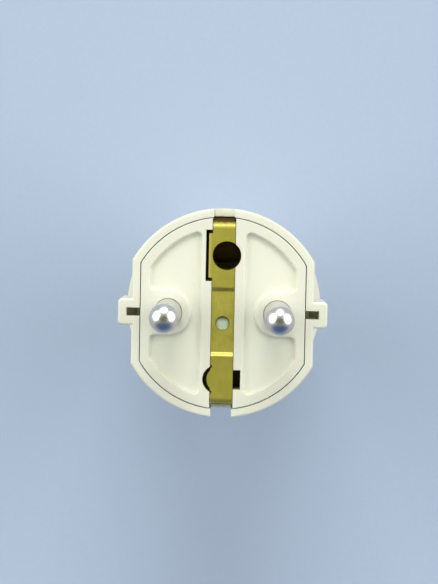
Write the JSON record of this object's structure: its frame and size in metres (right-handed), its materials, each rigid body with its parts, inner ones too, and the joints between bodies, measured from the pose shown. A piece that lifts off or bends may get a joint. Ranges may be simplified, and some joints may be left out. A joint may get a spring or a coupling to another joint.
{
  "type": "earthed mains plug",
  "caption": "White rewirable mains plug with round pins, side earth contacts on a folded brass strap, a hole for a socket's earth pin, and a ribbed hood with a rear cord inlet.",
  "frame": {"origin": "on the plug's axis, at the flat rear end that it stands on", "axes": "+Z along the axis, out of the face; +X along the line of the two pins; +Y towards the hole for a socket's earth pin"},
  "size_m": [0.0364, 0.0364, 0.077],
  "materials": {
    "hood_plastic": "smooth moulded warm white",
    "carrier_plastic": "smooth moulded warm white",
    "inner_plastic": "plain moulded",
    "nickel": "bright nickel plate on brass",
    "strap_brass": "rolled strip, slightly dull",
    "zinc_steel": "zinc plated",
    "grommet_rubber": "soft matt"
  },
  "bodies": {
    "root": {"hood": "hood_plastic", "contact_carrier": "carrier_plastic", "left_pin": "nickel", "right_pin": "nickel", "earth_strap": "strap_brass", "earth_pin_socket": "strap_brass", "pin_retainer": "inner_plastic", "retainer_screw": "zinc_steel", "left_wire_screw": "zinc_steel", "right_wire_screw": "zinc_steel", "left_wire_leaf": "strap_brass", "right_wire_leaf": "strap_brass", "earth_terminal_nut": "zinc_steel", "earth_clamp_washer": "strap_brass", "earth_terminal_screw": "zinc_steel", "cord_clamp_bar": "inner_plastic", "left_clamp_screw": "zinc_steel", "right_clamp_screw": "zinc_steel", "left_clamp_nut": "zinc_steel", "right_clamp_nut": "zinc_steel", "cord_grommet": "grommet_rubber"}
  },
  "joints": []
}
